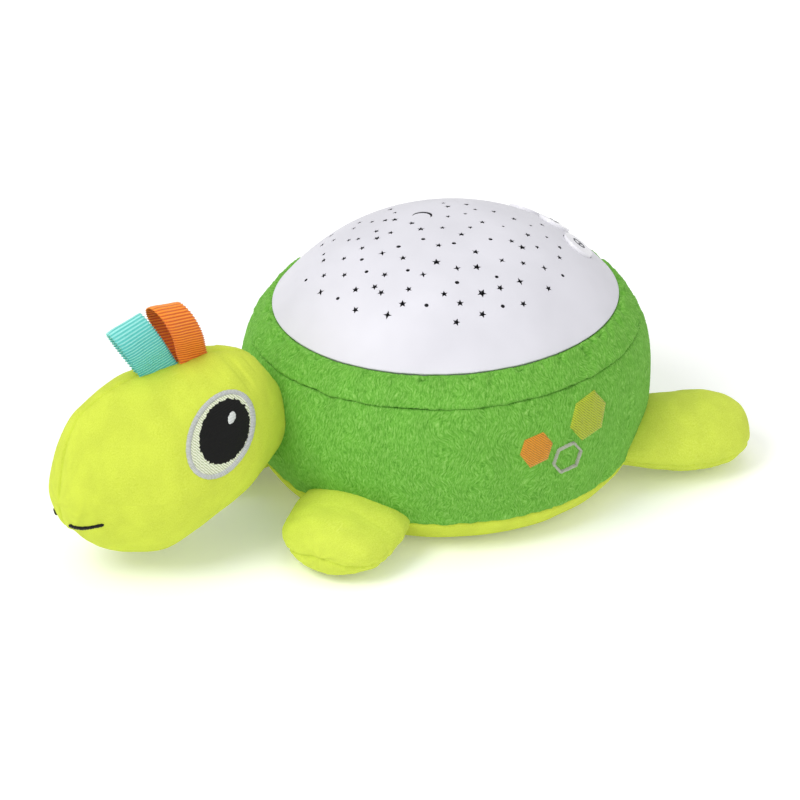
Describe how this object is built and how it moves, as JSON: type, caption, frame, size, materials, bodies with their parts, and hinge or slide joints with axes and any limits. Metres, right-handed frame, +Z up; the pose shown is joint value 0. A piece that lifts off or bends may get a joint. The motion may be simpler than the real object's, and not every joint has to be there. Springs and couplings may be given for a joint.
{
  "type": "plush star night light projector",
  "caption": "Stuffed turtle night light: pierced hard dome with push buttons over a light engine, battery door below, soft head, flippers and ribbon loops.",
  "frame": {"origin": "centre of the whole toy's footprint, on the surface it rests on", "axes": "+Z up, -Y toward the nose, +X the turtle's left side"},
  "size_m": [0.1688, 0.3056, 0.116],
  "materials": {
    "dome_white": "satin moulded white ABS",
    "button_white": "smooth moulded white ABS",
    "housing_grey": "moulded ABS",
    "door_grey": "moulded ABS, fine texture",
    "pcb": "green solder mask",
    "switch_black": "black moulding",
    "screw_steel": "zinc plated steel",
    "contact_steel": "nickel plated steel",
    "cell_jacket": "printed jacket, plain",
    "lead_wire": "PVC insulation",
    "cable_wire": "PVC insulation",
    "led_blue": "epoxy lens",
    "led_green": "epoxy lens",
    "led_amber": "epoxy lens",
    "elastic": "woven elastic",
    "green_plush": "short pile plush",
    "lime_plush": "velour pile plush",
    "stuffing": "polyester fibre fill",
    "binding_tape": "woven tape",
    "teal_grosgrain": "ribbed grosgrain",
    "orange_grosgrain": "ribbed grosgrain"
  },
  "bodies": {
    "body": {"dome_shell": "dome_white", "base_housing": "housing_grey", "dome_screws": "screw_steel", "switch_bodies": "switch_black", "button_board": "pcb", "button_board_screws": "screw_steel", "battery_cells": "cell_jacket", "battery_contacts": "contact_steel", "battery_springs": "contact_steel", "led_pedestal": "housing_grey", "led_board": "pcb", "led_blue": "led_blue", "led_green": "led_green", "led_amber": "led_amber", "light_engine_screws": "screw_steel", "battery_leads": "lead_wire", "button_cable": "cable_wire", "collar_elastic": "elastic", "collar_panel": "green_plush", "side_panel": "green_plush", "underside_panel": "lime_plush", "opening_binding": "binding_tape", "body_stuffing": "stuffing"},
    "power_button": {"power_button_cap": "button_white", "power_switch_plunger": "switch_black"},
    "colour_button": {"colour_button_cap": "button_white", "colour_switch_plunger": "switch_black"},
    "timer_button": {"timer_button_cap": "button_white", "timer_switch_plunger": "switch_black"},
    "battery_door": {"battery_door": "door_grey"},
    "door_screw": {"door_screw": "screw_steel"},
    "head": {"head_cover": "lime_plush", "head_stuffing": "stuffing", "ribbon_teal": "teal_grosgrain", "ribbon_orange": "orange_grosgrain"},
    "front_left_flipper": {"front_left_flipper_cover": "lime_plush", "front_left_flipper_stuffing": "stuffing"},
    "front_right_flipper": {"front_right_flipper_cover": "lime_plush", "front_right_flipper_stuffing": "stuffing"},
    "rear_left_flipper": {"rear_left_flipper_cover": "lime_plush", "rear_left_flipper_stuffing": "stuffing"},
    "rear_right_flipper": {"rear_right_flipper_cover": "lime_plush", "rear_right_flipper_stuffing": "stuffing"}
  },
  "joints": [
    {"name": "power_press", "type": "slide", "parent": "body", "child": "power_button", "axis": [0, -0.5745, -0.8185], "range_m": [0, 0.0008], "stiffness_N_per_m": 1500},
    {"name": "colour_press", "type": "slide", "parent": "body", "child": "colour_button", "axis": [0, -0.5745, -0.8185], "range_m": [0, 0.0008], "stiffness_N_per_m": 1500},
    {"name": "timer_press", "type": "slide", "parent": "body", "child": "timer_button", "axis": [0, -0.5745, -0.8185], "range_m": [0, 0.0008], "stiffness_N_per_m": 1500},
    {"name": "battery_door_hinge", "type": "hinge", "parent": "body", "child": "battery_door", "pos_m": [0, 0.0683, 0.0033], "axis": [1, 0, 0], "range_deg": [0, 75]},
    {"name": "door_screw_turn", "type": "hinge", "parent": "battery_door", "child": "door_screw", "pos_m": [0, 0.0066, 0.004], "axis": [0, 0, 1], "continuous": true},
    {"name": "head_nod", "type": "hinge", "parent": "body", "child": "head", "pos_m": [0, -0.0472, 0.05], "axis": [-1, 0, 0], "range_deg": [-3, 12], "stiffness_Nm_per_rad": 1.5},
    {"name": "front_left_flipper_lift", "type": "hinge", "parent": "body", "child": "front_left_flipper", "pos_m": [0.04034, -0.03555, 0.012], "axis": [-0.8413, -0.5405, 0], "range_deg": [0, 12], "stiffness_Nm_per_rad": 0.12},
    {"name": "front_right_flipper_lift", "type": "hinge", "parent": "body", "child": "front_right_flipper", "pos_m": [-0.04034, -0.03555, 0.012], "axis": [-0.8413, 0.5405, 0], "range_deg": [0, 12], "stiffness_Nm_per_rad": 0.12},
    {"name": "rear_left_flipper_lift", "type": "hinge", "parent": "body", "child": "rear_left_flipper", "pos_m": [0.05269, 0.10686, 0.012], "axis": [0.9593, -0.2825, 0], "range_deg": [0, 12], "stiffness_Nm_per_rad": 0.12},
    {"name": "rear_right_flipper_lift", "type": "hinge", "parent": "body", "child": "rear_right_flipper", "pos_m": [-0.05269, 0.10686, 0.012], "axis": [0.9593, 0.2825, 0], "range_deg": [0, 12], "stiffness_Nm_per_rad": 0.12}
  ]
}
